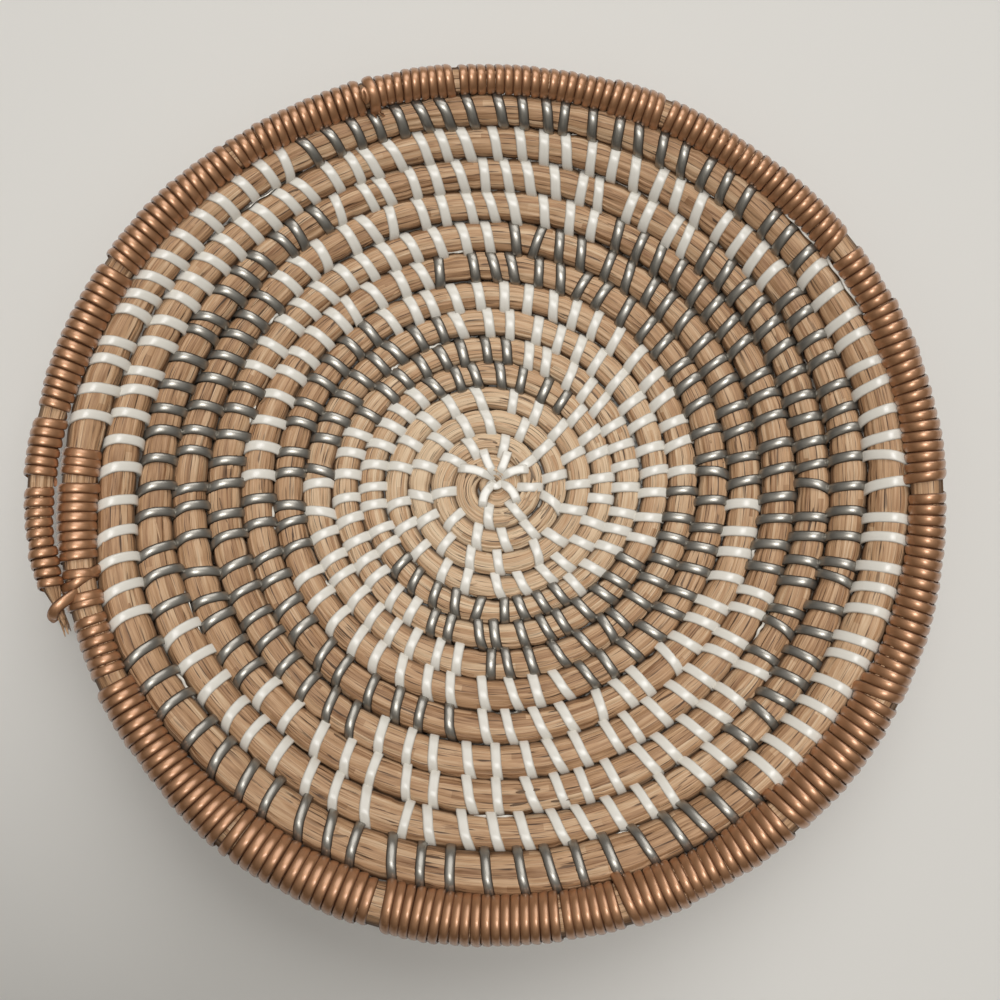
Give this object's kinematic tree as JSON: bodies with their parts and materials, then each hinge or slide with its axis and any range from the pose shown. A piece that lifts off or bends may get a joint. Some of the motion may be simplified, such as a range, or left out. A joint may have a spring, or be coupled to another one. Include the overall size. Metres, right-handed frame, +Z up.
{
  "type": "coiled basket",
  "caption": "Shallow round basket coiled from one grass bundle, sewn with white and grey plastic strips, its rim wrapped in copper strip.",
  "frame": {"origin": "middle of the basket's box, at the level it stands on", "axes": "+Z up out of the bowl, -Y towards the thick side of the rim (the bottom of the picture), -X towards the coil's free end"},
  "size_m": [0.2664, 0.2562, 0.0367],
  "materials": {
    "dried_grass": "matte dried grass blades, tan with darker splits",
    "white_strip": "flat plastic cord, off-white, satin gloss",
    "grey_strip": "flat plastic cord, dark pewter grey, metallic gloss",
    "copper_strip": "flat plastic cord, copper to rose gold, metallic gloss"
  },
  "bodies": {
    "root": {"grass_coil": "dried_grass", "white_strip_01": "white_strip", "white_strip_02": "white_strip", "white_strip_03": "white_strip", "white_strip_04": "white_strip", "white_strip_05": "white_strip", "white_strip_06": "white_strip", "white_strip_07": "white_strip", "white_strip_08": "white_strip", "white_strip_09": "white_strip", "white_strip_10": "white_strip", "white_strip_11": "white_strip", "white_strip_12": "white_strip", "white_strip_13": "white_strip", "white_strip_14": "white_strip", "white_strip_15": "white_strip", "white_strip_16": "white_strip", "white_strip_17": "white_strip", "white_strip_18": "white_strip", "white_strip_19": "white_strip", "grey_strip_01": "grey_strip", "grey_strip_02": "grey_strip", "grey_strip_03": "grey_strip", "grey_strip_04": "grey_strip", "grey_strip_05": "grey_strip", "grey_strip_06": "grey_strip", "grey_strip_07": "grey_strip", "grey_strip_08": "grey_strip", "grey_strip_09": "grey_strip", "grey_strip_10": "grey_strip", "grey_strip_11": "grey_strip", "grey_strip_12": "grey_strip", "grey_strip_13": "grey_strip", "grey_strip_14": "grey_strip", "grey_strip_15": "grey_strip", "grey_strip_16": "grey_strip", "grey_strip_17": "grey_strip", "grey_strip_18": "grey_strip", "copper_wrap_01": "copper_strip", "copper_wrap_02": "copper_strip", "copper_wrap_03": "copper_strip", "copper_wrap_04": "copper_strip", "copper_wrap_05": "copper_strip", "copper_wrap_06": "copper_strip", "copper_wrap_07": "copper_strip", "copper_wrap_08": "copper_strip", "copper_wrap_09": "copper_strip", "copper_wrap_10": "copper_strip", "copper_wrap_11": "copper_strip", "copper_wrap_12": "copper_strip", "copper_wrap_13": "copper_strip", "copper_wrap_14": "copper_strip", "copper_wrap_15": "copper_strip", "copper_wrap_16": "copper_strip"}
  },
  "joints": []
}
